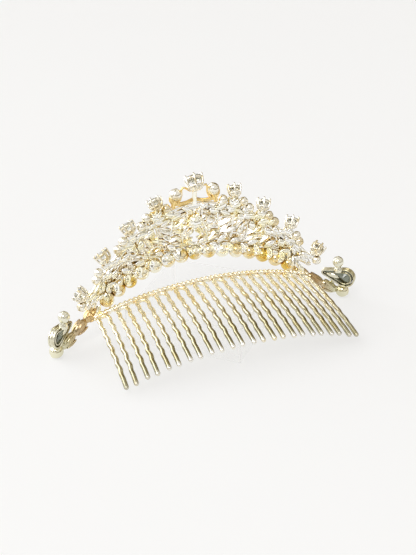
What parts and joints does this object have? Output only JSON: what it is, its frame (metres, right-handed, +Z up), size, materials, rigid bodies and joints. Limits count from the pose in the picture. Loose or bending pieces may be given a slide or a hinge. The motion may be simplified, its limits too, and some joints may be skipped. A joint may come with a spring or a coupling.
{
  "type": "comb tiara on a plain clear block stand",
  "caption": "Arched pierced tiara with a stone-set crest, a border of round cups and a long-toothed wire hair comb, resting on a plain clear square block.",
  "frame": {"origin": "middle of the block's underside, on the table", "axes": "+X to the right as seen from the wearer's side, +Y to the tiara's front, +Z up; the comb's teeth point to -Y"},
  "size_m": [0.123, 0.0699, 0.0578],
  "materials": {
    "clear_block": "polished clear acrylic",
    "pale_metal": "bright pale metal with warm, slightly darkened recesses",
    "gold_metal": "gilt metal, polished on the round backs",
    "clear_stone": "cut and polished",
    "grey_stone": "cut and polished"
  },
  "bodies": {
    "root": {"stand": "clear_block", "comb": "pale_metal", "band": "pale_metal", "crest": "pale_metal", "cup_border": "gold_metal", "left_end": "pale_metal", "right_end": "pale_metal", "center_stone": "clear_stone", "crest_stone_r1": "clear_stone", "crest_stone_r2": "clear_stone", "crest_stone_r3": "clear_stone", "crest_stone_r4": "clear_stone", "crest_stone_l1": "clear_stone", "crest_stone_l2": "clear_stone", "crest_stone_l3": "clear_stone", "crest_stone_l4": "clear_stone", "cup_stone_l7": "clear_stone", "cup_stone_l6": "clear_stone", "cup_stone_l5": "clear_stone", "cup_stone_l4": "clear_stone", "cup_stone_l3": "clear_stone", "cup_stone_l2": "clear_stone", "cup_stone_l1": "clear_stone", "cup_stone_0": "clear_stone", "cup_stone_r1": "clear_stone", "cup_stone_r2": "clear_stone", "cup_stone_r3": "clear_stone", "cup_stone_r4": "clear_stone", "cup_stone_r5": "clear_stone", "cup_stone_r6": "clear_stone", "cup_stone_r7": "clear_stone", "pear_stone_left": "grey_stone", "pear_stone_right": "grey_stone"}
  },
  "joints": []
}
